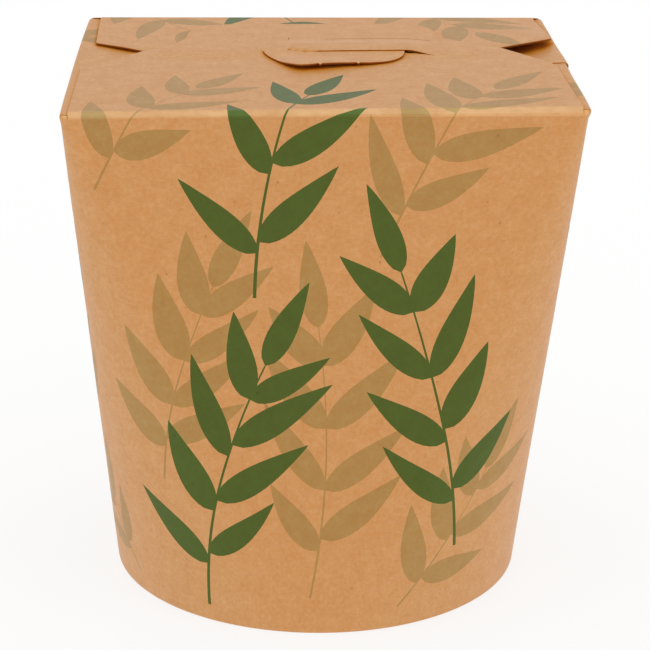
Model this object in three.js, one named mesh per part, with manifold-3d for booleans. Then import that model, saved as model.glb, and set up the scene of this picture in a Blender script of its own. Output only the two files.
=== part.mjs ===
// Noodle takeaway box: a die-cut kraft-board blank wrapped into a wall that is round at the
// base and oblong at the top, shut by four flaps and a lock tab, with a round base board
// recessed in its skirt. Millimetres, +Z up, front towards -Y, base centre at the origin.
import * as THREE from 'three';
import Module from 'manifold-3d';
import { mergeVertices } from 'three/addons/utils/BufferGeometryUtils.js';

const wasm = await Module();
wasm.setup();

// ---- driving dimensions ----
const HEIGHT = 109;          // base to the folds of the front and back flaps
const TOP_WIDTH = 100.5;     // across the front, at the folds
const TOP_DEPTH = 82.4;      // front to back, at the folds
const BASE_RADIUS = 43.25;
const BOARD = 0.45;          // thickness of the kraft board
const CORNER_RADIUS = 1.3;   // of the wall's four creases at the top
const FRONT_FOLD = 1.3;      // radius of the front flap's fold, creased twice
const FOLD_RADIUS = 0.8;     // of the other folds
const FRONT_TILT = 0.77;     // the front fold runs lower on its left end, higher on its right
const BACK_TILT = 0.18;      // the back fold does so less
const BACK_RISE = 0.3;       // and stands a little higher
const LEFT_BULGE = 0.85;     // how far the left wall bows out halfway along its fold
const RIGHT_BULGE = 0.6;     // the right wall is stiffer, as its seam is two boards thick
const SEAM_STEP = 0.4;       // thickness of the glued lap on the right wall
const SEAM_RISE = 0.17;      // the lap's step on the folded side flap, which is pressed flat
const SKIRT_DEPTH = 6.7;     // height of the hollow below the base board
const SKIRT_WALL = 1.15;     // wall, flange and hem, pressed together
const FIT_GAP = 0.3;         // between the base board and the carton
const SIDE_LEVEL = HEIGHT - 0.25;   // the side flaps fold in first, under the others
const ARC_STEPS = 20;        // facets of each corner's cone

// ---- small helpers ----
function smooth(from, to, x) {
  const t = Math.min(1, Math.max(0, (x - from) / (to - from)));
  return t * t * (3 - 2 * t);
}

function solidOf(geometry) {
  const bare = geometry.clone();
  bare.deleteAttribute('normal');
  bare.deleteAttribute('uv');
  const merged = mergeVertices(bare, 1e-5);
  return new wasm.Manifold(new wasm.Mesh({
    numProp: 3,
    vertProperties: new Float32Array(merged.attributes.position.array),
    triVerts: new Uint32Array(merged.index.array),
  }));
}

function prism(outline, low, high) {
  const shape = new THREE.Shape(outline.map(([x, y]) => new THREE.Vector2(x, y)));
  const geometry = new THREE.ExtrudeGeometry(shape, { depth: high - low, bevelEnabled: false });
  geometry.translate(0, 0, low);
  return solidOf(geometry);
}

// A smooth line through a few points, as an open run.
function curve(points, steps) {
  const line = new THREE.CatmullRomCurve3(
    points.map(([x, y]) => new THREE.Vector3(x, y, 0)), false, 'centripetal');
  return line.getPoints(steps).map((p) => [p.x, p.y]);
}

// A block between two height functions over a rectangle, on a regular grid.
function relief(x0, x1, y0, y1, step, low, high) {
  const nx = Math.ceil((x1 - x0) / step);
  const ny = Math.ceil((y1 - y0) / step);
  const points = [];
  for (const side of [low, high]) {
    for (let j = 0; j <= ny; j++) {
      for (let i = 0; i <= nx; i++) {
        const x = x0 + ((x1 - x0) * i) / nx;
        const y = y0 + ((y1 - y0) * j) / ny;
        points.push(x, y, side(x, y));
      }
    }
  }
  const at = (i, j, top) => top * (nx + 1) * (ny + 1) + j * (nx + 1) + i;
  const faces = [];
  for (let j = 0; j < ny; j++) {
    for (let i = 0; i < nx; i++) {
      faces.push(at(i, j, 1), at(i + 1, j, 1), at(i + 1, j + 1, 1));
      faces.push(at(i, j, 1), at(i + 1, j + 1, 1), at(i, j + 1, 1));
      faces.push(at(i, j, 0), at(i + 1, j + 1, 0), at(i + 1, j, 0));
      faces.push(at(i, j, 0), at(i, j + 1, 0), at(i + 1, j + 1, 0));
    }
  }
  const edge = [];
  for (let i = 0; i < nx; i++) edge.push([i, 0]);
  for (let j = 0; j < ny; j++) edge.push([nx, j]);
  for (let i = nx; i > 0; i--) edge.push([i, ny]);
  for (let j = ny; j > 0; j--) edge.push([0, j]);
  edge.forEach(([i, j], k) => {
    const [p, q] = edge[(k + 1) % edge.length];
    faces.push(at(i, j, 0), at(p, q, 0), at(p, q, 1));
    faces.push(at(i, j, 0), at(p, q, 1), at(i, j, 1));
  });
  const geometry = new THREE.BufferGeometry();
  geometry.setAttribute('position', new THREE.Float32BufferAttribute(points, 3));
  geometry.setIndex(faces);
  return solidOf(geometry);
}

// ---- the wall: each section is the blend of the base circle and the top's oblong ----
function section(height, inset, wider) {
  const u = height / HEIGHT;
  const radius = (1 - u) * BASE_RADIUS + u * CORNER_RADIUS - inset;
  const cx = u * (TOP_WIDTH / 2 - CORNER_RADIUS) + wider;
  const cy = u * (TOP_DEPTH / 2 - CORNER_RADIUS);
  const ring = [];
  const corners = [[1, -1], [1, 1], [-1, 1], [-1, -1]];
  corners.forEach(([sx, sy], k) => {
    for (let i = 0; i <= ARC_STEPS; i++) {
      const angle = ((k - 1 + i / ARC_STEPS) * Math.PI) / 2;
      ring.push([sx * cx + radius * Math.cos(angle), sy * cy + radius * Math.sin(angle)]);
    }
    const [ax, ay] = ring[ring.length - 1];
    const [nx, ny] = corners[(k + 1) % 4];
    const end = ((k) * Math.PI) / 2;
    const bx = nx * cx + radius * Math.cos(end);
    const by = ny * cy + radius * Math.sin(end);
    for (let i = 1; i < 8; i++) ring.push([ax + ((bx - ax) * i) / 8, ay + ((by - ay) * i) / 8]);
  });
  return ring;
}

function loft(rows) {
  const points = [];
  const rings = rows.map(([height, inset, wider = 0]) => {
    const first = points.length / 3;
    const ring = section(height, inset, wider);
    ring.forEach(([x, y]) => points.push(x, y, height));
    return { first, count: ring.length, height };
  });
  const faces = [];
  for (let r = 0; r + 1 < rings.length; r++) {
    const n = rings[r].count;
    for (let i = 0; i < n; i++) {
      const a = rings[r].first + i;
      const b = rings[r].first + ((i + 1) % n);
      const c = rings[r + 1].first + ((i + 1) % n);
      const d = rings[r + 1].first + i;
      faces.push(a, b, c, a, c, d);
    }
  }
  for (const [ring, up] of [[rings[0], false], [rings[rings.length - 1], true]]) {
    const centre = points.length / 3;
    points.push(0, 0, ring.height);
    for (let i = 0; i < ring.count; i++) {
      const a = ring.first + i;
      const b = ring.first + ((i + 1) % ring.count);
      if (up) faces.push(centre, a, b);
      else faces.push(centre, b, a);
    }
  }
  const geometry = new THREE.BufferGeometry();
  geometry.setAttribute('position', new THREE.Float32BufferAttribute(points, 3));
  geometry.setIndex(faces);
  const merged = mergeVertices(geometry, 1e-5);
  const kept = [];
  const index = merged.index.array;
  for (let t = 0; t < index.length; t += 3) {
    const [a, b, c] = [index[t], index[t + 1], index[t + 2]];
    if (a !== b && b !== c && c !== a) kept.push(a, b, c);
  }
  return new wasm.Manifold(new wasm.Mesh({
    numProp: 3,
    vertProperties: new Float32Array(merged.attributes.position.array),
    triVerts: new Uint32Array(kept),
  }));
}

// Rows of the shell up to a flat top, its rim rounded by the given radius.
function shellRows(top, radius) {
  const rows = [];
  for (let i = 0; i <= 6; i++) rows.push([((top - radius) * i) / 6, 0]);
  for (let i = 1; i <= 4; i++) {
    const angle = (i / 4) * (Math.PI / 2);
    rows.push([top - radius + radius * Math.sin(angle), radius * (1 - Math.cos(angle))]);
  }
  return rows;
}

// ---- outlines of the flaps, seen from above ----
const LEFT_TIP = [-36.8, 8.4];      // where the two big flaps' edges cross
const RIGHT_TIP = [37.9, 11.3];

function frontFlapOutline() {
  const rightShoulder = curve([RIGHT_TIP, [31, 14.6], [26, 19.2], [24.6, 26.5], [21.6, 31.2],
    [15, 32.3]], 20);
  const leftShoulder = curve([[-19, 31.9], [-25.2, 30.2], [-27.4, 25], [-28.6, 17.5],
    [-31.6, 12], LEFT_TIP], 20);
  return [[-48.7, -45], [49.0, -45], [49.0, -3.5], ...rightShoulder, ...leftShoulder,
    [-49.1, -6]];
}

function backFlapOutline() {
  return [[-47.6, 45], [-47.1, 13.4], LEFT_TIP, [-30, 4.5], [30, 4.5], RIGHT_TIP,
    [49.3, 15.4], [48.4, 45]];
}

function tabOutline() {
  const front = curve([[-11.9, 9.4], [-11.7, 4.2], [-11.2, -1.8], [-9.3, -6.4], [-5.1, -9.9],
    [-0.6, -9.8], [7.7, -8.8], [13.5, -6.5], [16.3, -2.6], [17.4, 3.6], [17.9, 6.8]], 40);
  return [...front, [-5.9, 7.2], [-6.3, 11], [-9.4, 11.9], [-11.3, 11.2]];
}

// ---- heights of the flaps' upper faces ----
function strapRise(x, y) {
  const across = smooth(-7.5, -4.5, x) * (1 - smooth(20, 25, x));
  return 0.3 * across * smooth(6, 9, y) * (1 - smooth(17, 20, y));
}

function frontFlapTop(x, y) {
  const rise = BOARD * smooth(1, 9, y) * (1 - smooth(30, 38, Math.abs(x)));
  return HEIGHT + rise + strapRise(x, y);
}

function backFlapTop(x, y) {
  const near = 1 - smooth(14, 39, y);
  const left = 0.85 * smooth(28, 47, -x);
  const right = 1.05 * smooth(30, 49, x);
  return HEIGHT + near * (left + right);
}

function tabTop(x, y) {
  return HEIGHT + 0.95 + 0.65 * smooth(7.6, -9.8, y) * (0.6 + 0.4 * smooth(-12, -4, x));
}

// A flap turns over its fold from the wall's face: only what lies inside this is left of it.
// It is wider than the box, so that each fold ends square, at the flap's own cut edge.
function foldedEnvelope(radius) {
  const rows = [[HEIGHT - 2.5, 0.8, 3], [HEIGHT - 1.6, 0, 3]];
  for (let i = 0; i <= 5; i++) {
    const angle = (i / 5) * (Math.PI / 2);
    rows.push([HEIGHT - radius * (1 - Math.sin(angle)), radius * (1 - Math.cos(angle)), 3]);
  }
  rows.push([HEIGHT + 5, radius, 3]);
  return loft(rows);
}

function frontFlap() {
  const block = relief(-52, 52, -44, 36, 2.6, () => HEIGHT - 2.2, frontFlapTop);
  return prism(frontFlapOutline(), HEIGHT - 4, HEIGHT + 4)
    .intersect(block)
    .intersect(foldedEnvelope(FRONT_FOLD));
}

function backFlap() {
  const lowSide = (x, y) => backFlapTop(x, y) - BOARD - 0.02;
  const block = relief(-52, 52, 0, 44, 2.6, lowSide, backFlapTop);
  return prism(backFlapOutline(), HEIGHT - 4, HEIGHT + 4)
    .intersect(block)
    .intersect(foldedEnvelope(FOLD_RADIUS));
}

function lockTab() {
  const block = relief(-14, 20, -12, 14, 1.3, (x, y) => tabTop(x, y) - BOARD, tabTop);
  const root = prism([[-6.1, 6.4], [17.6, 6.4], [17.6, 7.1], [-6.1, 7.1]], HEIGHT - 1,
    HEIGHT + 1.0);
  const hook = prism([[-11.2, 8.6], [-6.4, 8.6], [-6.4, 11.2], [-10.6, 11.2]], HEIGHT - 1,
    HEIGHT + 0.9);
  const nick = (x) => prism([[x - 0.35, -12], [x + 0.35, -12], [x, -8.3]], HEIGHT, HEIGHT + 4);
  return prism(tabOutline(), HEIGHT - 4, HEIGHT + 4).intersect(block)
    .subtract(nick(-0.25))
    .subtract(nick(7.6))
    .add(root)
    .add(hook);
}

// A narrow groove that follows a line on the top face.
function groove(points, width, low) {
  const line = curve(points, 16);
  const left = [];
  const right = [];
  line.forEach(([x, y], i) => {
    const [px, py] = line[Math.max(0, i - 1)];
    const [qx, qy] = line[Math.min(line.length - 1, i + 1)];
    const length = Math.hypot(qx - px, qy - py);
    const half = width(i / (line.length - 1)) / 2;
    left.push([x - ((qy - py) / length) * half, y + ((qx - px) / length) * half]);
    right.unshift([x + ((qy - py) / length) * half, y - ((qx - px) / length) * half]);
  });
  return prism([...left, ...right], low, HEIGHT + 4);
}

// ---- the side seam: the blank's rear end laps over its front end on the right wall ----
// The lap is the shell itself, turned by a degree about the line where it comes to lie flush.
function seamLap(shell) {
  const flush = 18;
  const turn = (Math.atan(SEAM_STEP / (flush + 2)) * 180) / Math.PI;
  const tip = (Math.atan(SEAM_RISE / (flush + 2)) * 180) / Math.PI;
  const lapped = shell
    .translate([-TOP_WIDTH / 2, -flush, -SIDE_LEVEL])
    .rotate([-tip, 0, 0])
    .rotate([0, 0, turn])
    .translate([TOP_WIDTH / 2, flush, SIDE_LEVEL]);
  const reach = prism([[38, 0.1], [47.6, 0.1], [50.1, -2.4], [56, -2.4], [56, flush], [38, flush]],
    SKIRT_DEPTH * 0.5, HEIGHT + 4);
  return lapped.intersect(reach);
}

// ---- the set of the folded box: bowed side walls and folds that aren't level ----
function settle(geometry) {
  const p = geometry.attributes.position;
  for (let i = 0; i < p.count; i++) {
    const x = p.getX(i);
    const y = p.getY(i);
    const u = Math.min(1, Math.max(0, (p.getZ(i) - 10) / (HEIGHT - 10)));
    const along = Math.max(0, 1 - (y / (TOP_DEPTH / 2)) ** 2);
    const bulge = x < 0 ? -LEFT_BULGE : RIGHT_BULGE;
    const out = bulge * smooth(30, 50, Math.abs(x)) * along * u * u;
    const back = (y + TOP_DEPTH / 2) / TOP_DEPTH;
    const slope = FRONT_TILT + (BACK_TILT - FRONT_TILT) * back;
    const lift = (slope * x) / (TOP_WIDTH / 2) + BACK_RISE * back;
    p.setXYZ(i, x + out, y, p.getZ(i) + lift * u);
  }
  return geometry;
}

function meshOf(solid) {
  const m = solid.getMesh();
  const geometry = new THREE.BufferGeometry();
  geometry.setAttribute('position', new THREE.BufferAttribute(new Float32Array(m.vertProperties), 3));
  geometry.setIndex(new THREE.BufferAttribute(new Uint32Array(m.triVerts), 1));
  return geometry;
}

function carton() {
  const shell = loft(shellRows(SIDE_LEVEL, FOLD_RADIUS));
  const cornerGap = (low, high) => prism([[low, -40.5], [high, -40.5], [high, -40.1],
    [low, -40.1]], SIDE_LEVEL - 0.6, HEIGHT + 4);
  const slit = groove([[-5.9, 7.0], [6.4, 6.7], [18, 6.6], [21.1, 5.5], [23.9, 4.7]],
    (t) => 0.3 + 0.6 * smooth(0.46, 0.55, t) * (1 - smooth(0.6, 0.78, t)), HEIGHT - 0.3);
  const crease = groove([[-1.8, 18.7], [8, 19.2], [16.3, 19.3], [23.6, 16.5]], () => 0.25,
    HEIGHT + 0.25);
  const recess = new THREE.CylinderGeometry(BASE_RADIUS - SKIRT_WALL, BASE_RADIUS - SKIRT_WALL,
    SKIRT_DEPTH + 2, 96);
  recess.rotateX(Math.PI / 2);
  recess.translate(0, 0, SKIRT_DEPTH / 2 - 1);
  return shell
    .add(seamLap(shell))
    .subtract(cornerGap(-52, -48.9))
    .subtract(cornerGap(49.2, 52))
    .add(frontFlap())
    .add(backFlap())
    .subtract(slit)
    .subtract(crease)
    .add(lockTab())
    .subtract(solidOf(recess));
}

function baseBoard() {
  const radius = BASE_RADIUS - SKIRT_WALL - FIT_GAP;
  const disc = new THREE.CylinderGeometry(radius, radius, BOARD, 96);
  disc.rotateX(Math.PI / 2);
  disc.translate(0, 0, SKIRT_DEPTH - FIT_GAP - BOARD / 2);
  return solidOf(disc);
}

// ---- the group ----
const kraft = new THREE.MeshStandardMaterial({ color: 0xcf9a63, roughness: 0.85, metalness: 0 });
const baseKraft = new THREE.MeshStandardMaterial({ color: 0xc79460, roughness: 0.9, metalness: 0 });

const cartonMesh = new THREE.Mesh(settle(meshOf(carton())), kraft);
cartonMesh.name = 'carton';
const baseMesh = new THREE.Mesh(meshOf(baseBoard()), baseKraft);
baseMesh.name = 'base_disc';

const box = new THREE.Group();
box.name = 'noodle_takeaway_box';
box.add(cartonMesh, baseMesh);

export default box;
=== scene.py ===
import math

import bpy
import numpy as np
from mathutils import Euler, Matrix
from mathutils.geometry import delaunay_2d_cdt


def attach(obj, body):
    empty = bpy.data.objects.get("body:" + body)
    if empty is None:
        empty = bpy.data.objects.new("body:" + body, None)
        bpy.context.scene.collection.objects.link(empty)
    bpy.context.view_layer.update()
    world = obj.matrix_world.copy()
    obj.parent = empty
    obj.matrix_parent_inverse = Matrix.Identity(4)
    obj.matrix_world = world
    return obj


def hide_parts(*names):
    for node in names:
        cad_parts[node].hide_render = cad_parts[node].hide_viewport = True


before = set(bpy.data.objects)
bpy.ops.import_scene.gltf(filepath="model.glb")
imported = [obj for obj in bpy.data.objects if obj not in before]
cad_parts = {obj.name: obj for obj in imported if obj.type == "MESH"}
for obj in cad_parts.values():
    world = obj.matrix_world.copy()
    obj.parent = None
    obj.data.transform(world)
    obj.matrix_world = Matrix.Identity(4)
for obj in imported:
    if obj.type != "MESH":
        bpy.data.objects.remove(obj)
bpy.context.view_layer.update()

# ---- The studio ----
# A pale seamless floor under an even white light from all round, cooler from the sides and
# warmer from overhead, with one soft box in front on the right, as packaging is shot. The floor
# glows, so that the box leaves only a faint shadow on it.
MM = 0.001
scene = bpy.context.scene
scene.view_settings.view_transform = "Standard"

world = bpy.data.worlds.new("white studio")
world.use_nodes = True
sky = world.node_tree
direction = sky.nodes.new("ShaderNodeSeparateXYZ")
sky.links.new(sky.nodes.new("ShaderNodeTexCoord").outputs["Generated"], direction.inputs["Vector"])
# The light's tones from left to right, from front to back and from the floor to overhead.
light_tones = {
    "X": ((1.02, 1.13, 1.33), (1.0, 1.0, 1.0), (0.99, 1.03, 1.13)),
    "Y": ((1.0, 0.99, 0.965), (0.975, 0.99, 0.99), (0.94, 0.955, 0.935)),
    "Z": ((1.0, 1.0, 1.0), (1.0, 1.0, 1.0), (0.985, 0.94, 0.85)),
}
tones = []
for axis, colours in light_tones.items():
    reached = sky.nodes.new("ShaderNodeMapRange")
    reached.inputs["From Min"].default_value = -1.0
    sky.links.new(direction.outputs[axis], reached.inputs["Value"])
    tone = sky.nodes.new("ShaderNodeValToRGB")
    tone.color_ramp.elements.new(0.5)
    for stop, colour in zip(tone.color_ramp.elements, colours):
        stop.color = colour + (1,)
    sky.links.new(reached.outputs["Result"], tone.inputs["Fac"])
    tones.append(tone.outputs["Color"])
sky_colour = tones[0]
for tone in tones[1:]:
    both = sky.nodes.new("ShaderNodeVectorMath")
    both.operation = "MULTIPLY"
    sky.links.new(sky_colour, both.inputs[0])
    sky.links.new(tone, both.inputs[1])
    sky_colour = both.outputs[0]
sky.links.new(sky_colour, sky.nodes["Background"].inputs["Color"])
sky.nodes["Background"].inputs["Strength"].default_value = 0.985
scene.world = world

soft_box = bpy.data.objects.new("soft box", bpy.data.lights.new("soft box", "AREA"))
soft_box.data.size = 0.5
soft_box.data.energy = 0.25
soft_box.location = (0.38, -0.5, 0.5)
soft_box.rotation_euler = (math.radians(52), 0, math.radians(38))
scene.collection.objects.link(soft_box)

floor_half = 4
floor_corners = [(-floor_half, -floor_half, 0), (floor_half, -floor_half, 0),
                 (floor_half, floor_half, 0), (-floor_half, floor_half, 0)]
floor_mesh = bpy.data.meshes.new("floor")
floor_mesh.from_pydata(floor_corners, [], [(0, 1, 2, 3)])
floor = bpy.data.objects.new("floor", floor_mesh)
scene.collection.objects.link(floor)
floor_paint = bpy.data.materials.new("pale floor")
floor_paint.use_nodes = True
floor_shader = floor_paint.node_tree.nodes["Principled BSDF"]
floor_shader.inputs["Base Color"].default_value = (0.24, 0.24, 0.24, 1)
floor_shader.inputs["Roughness"].default_value = 0.9
floor_shader.inputs["Specular IOR Level"].default_value = 0.0
floor_shader.inputs["Emission Color"].default_value = (1.0, 1.0, 1.0, 1)
floor_shader.inputs["Emission Strength"].default_value = 0.765
floor_mesh.materials.append(floor_paint)

# A long lens in front of the box and above it, tipped down and all but square to the front.
camera_place = (-0.012285, -0.476866, 0.221331)
camera_tip = math.radians(70.395)
camera_roll = math.radians(-0.594)
camera_swing = math.radians(-1.454)
camera = bpy.data.objects.new("camera", bpy.data.cameras.new("camera"))
camera.data.sensor_width = 36.0
camera.data.lens = 131.24
camera.data.clip_start = 0.01
camera_turns = Euler((camera_tip, camera_roll, camera_swing)).to_matrix().to_4x4()
camera.matrix_world = Matrix.Translation(camera_place) @ camera_turns
scene.collection.objects.link(camera)
scene.camera = camera

# ---- The carton's board: how the flat blank is shaped ----
# One die-cut sheet of kraft board, wrapped into a wall that is a circle at the base and an
# oblong at the folds. Its two ends are glued in a lap on the right wall, its lower edge is
# turned up inside the skirt, and its flaps are folded over the top.
# Its sizes are in millimetres, with the front towards -Y and the base's centre at 0, 0, 0.
height = 109.0
top_width = 100.5
top_depth = 82.4
base_radius = 43.25
corner_radius = 1.3
board = 0.4
side_level = height - 0.25
rolled_radius = 0.575
hem_length = 4.95


def smooth(start, end, x):
    """0 before the start and 1 after the end, with an eased run between them."""
    t = np.clip((x - start) / (end - start), 0.0, 1.0)
    return t * t * (3 - 2 * t)


def fold_path(level, creases, end):
    """The way board takes over a fold: distances inward and upward for each distance along it.

    A crease is its place along the board, half its width and the degrees that it turns."""
    along = np.linspace(0.0, end, 400)
    lean = sum(angle * smooth(at - half, at + half, along) for at, half, angle in creases)
    step = along[1] - along[0]
    middle = np.radians((lean[1:] + lean[:-1]) / 2)
    inward = np.concatenate([[0.0], np.cumsum(np.sin(middle)) * step])
    upward = np.concatenate([[0.0], np.cumsum(np.cos(middle)) * step])
    return {"start": level - upward[-1], "end": end, "along": along, "inward": inward,
            "upward": upward, "creases": [at for at, half, angle in creases]}


# The front fold is creased twice, so it is a narrow bevel. The others are rolled over.
front_fold = fold_path(height, [(0.3, 0.28, 64), (2.1, 0.48, 26)], 2.6)
rolled_crease = [(0.66, 0.66, 90)]
back_fold = fold_path(height, rolled_crease, 1.34)
side_fold = fold_path(side_level, rolled_crease, 1.34)
folds = [side_fold, back_fold, side_fold, front_fold, side_fold]

# The blank is laid out flat by s, the way round the folds from the middle of the right wall
# and anticlockwise from above, and v, the height up the wall and on over the fold.
run_x = top_width / 2 - corner_radius
run_y = top_depth / 2 - corner_radius
corner_arc = corner_radius * math.pi / 2
long_side = 2 * run_x + corner_arc
short_side = 2 * run_y + corner_arc
around = 2 * (long_side + short_side)
corners_s = np.array([short_side / 2, short_side / 2 + long_side,
                      short_side * 1.5 + long_side, short_side * 1.5 + long_side * 2])
middles_s = np.array([0.0, around / 4, around / 2, around * 3 / 4, around])
half_run = np.array([run_y, run_x, run_y, run_x, run_y])
corner_out = np.array([run_x, run_y, run_x, run_y, run_x])
facing = np.array([(1, 0), (0, 1), (-1, 0), (0, -1), (1, 0)], float)
heading = np.array([(0, 1), (-1, 0), (0, -1), (1, 0), (0, 1)], float)
RIGHT, BACK, LEFT, FRONT, RIGHT_AGAIN = range(5)
seam_s = -2.4

# Where each side's flap starts and stops along its fold, and the slot beside each.
slot_width = 0.02
flap_from = np.array([-60.0, -48.2, -40.5, -48.9, -40.5])
flap_to = np.array([40.5, 47.6, 40.5, 49.0, 60.0])

# The slit that the lock tab comes up through, and the strap behind it, which the tab lifts.
slit_x = [-6.4, -5.6, -3.5, 0.0, 6.4, 17.8, 21.1, 23.9]
slit_y = [8.4, 6.2, 5.2, 5.0, 5.2, 5.4, 4.7, 3.5]
slit_gap = 0.22
strap_lift = 0.62
flap_lift = 0.45
tab_arch = 0.85


def slit_wedge(x):
    """How much wider the slit gapes beside the tab, where the strap stands up."""
    return 0.2 * smooth(17.6, 18.6, x) * (1 - smooth(19.5, 22.5, x))


def strap_rise(x, y):
    """The strap stands up over the tab's root and dies away to the line behind it."""
    across = smooth(-6.6, -4.6, x) * (1 - smooth(18.0, 24.0, x))
    behind = smooth(-0.15, 0.15, y - np.interp(x, slit_x, slit_y))
    return strap_lift * across * behind * (1 - smooth(10.5, 17.4, y))


def front_rise(x, y):
    """The front flap lies on the back flap, and its two ends droop."""
    over_back_flap = flap_lift * smooth(1, 9, y) * (1 - smooth(30, 38, np.abs(x)))
    drooping_ends = 0.16 * smooth(44.5, 48.5, np.abs(x)) * smooth(-40.5, -37, y)
    return over_back_flap + strap_rise(x, y) - drooping_ends


def tab_rise(x, y):
    """The lock tab lies on the front flap and arches up a little along its edge."""
    arch = smooth(-10, -4, x) * (1 - smooth(-2, 17, x)) * smooth(5, -7, y)
    return flap_lift + flap_lift * smooth(1, 9, y) + tab_arch * arch


def back_rise(x, y):
    """The back flap's ends stand up, the right one more, and its tab changes from under the
    strap to the top of the front flap where it comes through the slit."""
    near = 1 - smooth(14, 39, y)
    towards_corner = np.clip((np.abs(x) - 36.4) / 12.6, 0, 1) ** 1.25
    lifted = near * towards_corner * np.where(x < 0, 0.22, 1.15)
    under_strap = strap_rise(x, y) - 0.3 * (1 - smooth(9, 13, y)) * smooth(18, 22, np.abs(x))
    barb = smooth(-6.1, -6.2, x) * smooth(-12.7, -12.5, x) * smooth(12.6, 12.4, y)
    in_front = np.clip(barb + smooth(6.5, 5.1, y), 0, 1)
    return lifted + under_strap * (1 - in_front) + tab_rise(x, y) * in_front


# The glued lap stands proud by the board's thickness and fades out along the right wall. The
# side flaps lie below the others and sag towards the middle of the box.
lap_step = board
lap_rise = 0.1
side_sag = 1.9
left_sag = 0.5
behind_lap_sag = 0.55


def lap_share(s):
    """1 at the seam, and less the further it is along the wall from it."""
    return 1 - smooth(0, 20, s - seam_s)


def side_rise(side, y, inward, lap):
    """How far a side flap lies above or below its fold, by its distance in from the fold."""
    over_lap = lap_rise * lap * smooth(0, 0.9, inward) * (side == RIGHT)
    pressed = 0.13 * smooth(0.5, 1.7, inward)
    sag = np.where(side == LEFT, left_sag, side_sag) * smooth(1.2, 12, inward) \
        + behind_lap_sag * (side == RIGHT) * smooth(2, 12, y) * smooth(0.9, 3.5, inward)
    tucked_end = 0.06 * smooth(-6.5, -2.6, y) * (side == RIGHT_AGAIN) * smooth(0.2, 1.0, inward)
    return over_lap - pressed - sag - tucked_end


def unevenness(s, v, start):
    """A wall of board is never quite flat, apart from along its fold and its foot."""
    calm_ends = np.sin(np.pi * np.clip(v / start, 0, 1)) ** 0.5
    waves = np.sin(s / 15.0 + 1.1) * np.sin(v / 19.0 + 0.6) + 0.5 * np.sin(s / 7.3 + v / 9.7)
    return 0.07 * calm_ends * waves


# The set of the folded box: its side walls bow out, its side folds spring out at their front
# ends, where no flap holds them, and its folds run up to the right and to the back.
left_bulge = -0.4
right_bulge = 0.36
left_spring = -0.16
right_spring = 0.35
right_wall_spring = 0.15
front_slope = 0.77
back_slope = 0.18
back_lift = 0.3


def settled(x, y, z):
    """Where a point of the square-cut box has moved to as the board settled."""
    u = np.clip((z - 10) / (height - 10), 0, 1)
    inside = np.clip(1 - (y / (top_depth / 2)) ** 2, 0, 1)
    bulge = np.where(x < 0, left_bulge, right_bulge)
    back = (y + top_depth / 2) / top_depth
    slope = front_slope + (back_slope - front_slope) * back
    at_fold = smooth(106.3, 108, z) * smooth(48, 49.8, np.abs(x))
    right_sprung = right_spring * at_fold + right_wall_spring * smooth(65, 100, z) * smooth(30, 50, x)
    sprung = np.where(x < 0, left_spring * at_fold, right_sprung) * smooth(10, 38, -y)
    x_out = x + bulge * smooth(30, 50, np.abs(x)) * inside * u * u + sprung
    return x_out, y, z + (slope * x / (top_width / 2) + back_lift * back) * u


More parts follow.
